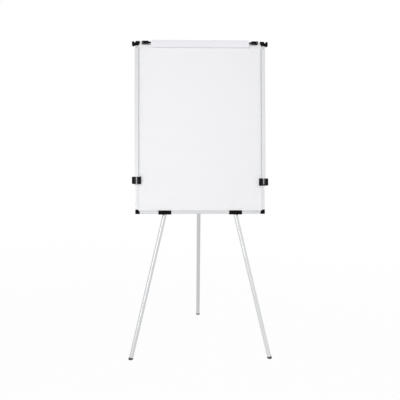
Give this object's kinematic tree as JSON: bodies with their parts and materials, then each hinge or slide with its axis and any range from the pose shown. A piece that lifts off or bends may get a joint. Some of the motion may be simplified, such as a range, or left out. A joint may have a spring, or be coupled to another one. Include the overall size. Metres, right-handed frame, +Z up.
{
  "type": "flipchart easel",
  "caption": "Tripod flipchart easel: framed dry-wipe board with a sprung paper clamp, swing-out arms with sliding clips, and telescopic folding legs.",
  "frame": {"origin": "on the floor, under the middle of the whole easel", "axes": "+Z up, +X to the right of someone facing the board, the writing face looks towards -Y and leans back"},
  "size_m": [0.837, 0.735, 1.8385],
  "materials": {
    "aluminium": "satin",
    "white_enamel": "gloss",
    "backing": "matte",
    "core": "matte",
    "zinc_steel": "satin",
    "rubber": "matte",
    "grey_rubber": "matte",
    "grey_plastic": "satin",
    "nylon": "matte",
    "black_plastic": "satin"
  },
  "bodies": {
    "board": {"frame_rail_top": "aluminium", "frame_rail_bottom": "aluminium", "frame_rail_left": "aluminium", "frame_rail_right": "aluminium", "corner_cap_bottom_left": "black_plastic", "corner_cap_bottom_right": "black_plastic", "corner_bracket_top_left": "black_plastic", "corner_bracket_top_right": "black_plastic", "writing_sheet": "white_enamel", "panel_core": "core", "backing_sheet": "backing", "frame_screws": "zinc_steel", "clamp_bracket_left": "black_plastic", "clamp_bracket_right": "black_plastic", "clamp_bracket_screws": "zinc_steel", "clamp_springs": "zinc_steel", "arm_pivot_screws": "zinc_steel", "arm_pivot_bushes": "nylon", "hub_plate": "zinc_steel", "hub_body": "black_plastic", "hub_screws": "zinc_steel", "front_leg_pins": "zinc_steel", "rear_leg_pin": "zinc_steel", "leg_bracket_left": "black_plastic", "leg_bracket_right": "black_plastic", "leg_bracket_screws": "zinc_steel"},
    "paper_clamp": {"clamp_bar": "aluminium", "clamp_grip": "grey_rubber", "clamp_pins": "zinc_steel"},
    "arm_left": {"arm_left": "aluminium", "arm_end_plug_left": "grey_plastic"},
    "clip_left": {"sheet_clip_left": "black_plastic", "sheet_clip_spring_left": "zinc_steel"},
    "arm_right": {"arm_right": "aluminium", "arm_end_plug_right": "grey_plastic"},
    "clip_right": {"sheet_clip_right": "black_plastic", "sheet_clip_spring_right": "zinc_steel"},
    "upper_leg_left": {"leg_head_left": "black_plastic", "upper_tube_left": "aluminium", "guide_bush_left": "nylon"},
    "lower_leg_left": {"lower_tube_left": "aluminium", "lock_collar_left": "black_plastic", "foot_left": "rubber"},
    "knob_left": {"lock_knob_left": "black_plastic"},
    "upper_leg_right": {"leg_head_right": "black_plastic", "upper_tube_right": "aluminium", "guide_bush_right": "nylon"},
    "lower_leg_right": {"lower_tube_right": "aluminium", "lock_collar_right": "black_plastic", "foot_right": "rubber"},
    "knob_right": {"lock_knob_right": "black_plastic"},
    "upper_leg_rear": {"leg_head_rear": "black_plastic", "upper_tube_rear": "aluminium", "guide_bush_rear": "nylon"},
    "lower_leg_rear": {"lower_tube_rear": "aluminium", "lock_collar_rear": "black_plastic", "foot_rear": "rubber"},
    "knob_rear": {"lock_knob_rear": "black_plastic"}
  },
  "joints": [
    {"name": "clamp_open", "type": "hinge", "parent": "board", "child": "paper_clamp", "pos_m": [0, -0.10858, 1.82406], "axis": [-1, 0, 0], "range_deg": [0, 35], "stiffness_Nm_per_rad": 0.6, "springref_deg": -57.3},
    {"name": "arm_left_swing", "type": "hinge", "parent": "board", "child": "arm_left", "pos_m": [-0.368, -0.1118, 1.79419], "axis": [0, 0.9877, -0.1564], "range_deg": [0, 90]},
    {"name": "clip_left_slide", "type": "slide", "parent": "arm_left", "child": "clip_left", "axis": [0, 0.1564, 0.9877], "range_m": [-0.01, 0.69]},
    {"name": "arm_right_swing", "type": "hinge", "parent": "board", "child": "arm_right", "pos_m": [0.368, -0.1118, 1.79419], "axis": [0, -0.9877, 0.1564], "range_deg": [0, 90]},
    {"name": "clip_right_slide", "type": "slide", "parent": "arm_right", "child": "clip_right", "axis": [0, 0.1564, 0.9877], "range_m": [0, 0.7]},
    {"name": "leg_left_fold", "type": "hinge", "parent": "board", "child": "upper_leg_left", "pos_m": [-0.022, -0.09812, 1.61586], "axis": [0, -0.9877, 0.1564], "range_deg": [0, 13]},
    {"name": "leg_left_extend", "type": "slide", "parent": "upper_leg_left", "child": "lower_leg_left", "axis": [-0.2279, -0.1523, -0.9617], "range_m": [-0.45, 0.16]},
    {"name": "knob_left_turn", "type": "hinge", "parent": "lower_leg_left", "child": "knob_left", "pos_m": [-0.17261, -0.1823, 1.08442], "axis": [-0.9737, 0.0357, 0.2251], "range_deg": [0, 360]},
    {"name": "leg_right_fold", "type": "hinge", "parent": "board", "child": "upper_leg_right", "pos_m": [0.022, -0.09812, 1.61586], "axis": [0, 0.9877, -0.1564], "range_deg": [0, 13]},
    {"name": "leg_right_extend", "type": "slide", "parent": "upper_leg_right", "child": "lower_leg_right", "axis": [0.2279, -0.1523, -0.9617], "range_m": [-0.45, 0.16]},
    {"name": "knob_right_turn", "type": "hinge", "parent": "lower_leg_right", "child": "knob_right", "pos_m": [0.17261, -0.1823, 1.08442], "axis": [0.9737, 0.0357, 0.2251], "range_deg": [0, 360]},
    {"name": "leg_rear_fold", "type": "hinge", "parent": "board", "child": "upper_leg_rear", "pos_m": [0, -0.06798, 1.60096], "axis": [-1, 0, 0], "range_deg": [0, 23]},
    {"name": "leg_rear_extend", "type": "slide", "parent": "upper_leg_rear", "child": "lower_leg_rear", "axis": [0, 0.2548, -0.967], "range_m": [-0.45, 0.16]},
    {"name": "knob_rear_turn", "type": "hinge", "parent": "lower_leg_rear", "child": "knob_rear", "pos_m": [0, 0.09122, 1.09107], "axis": [0, 0.967, 0.2548], "range_deg": [0, 360]}
  ]
}
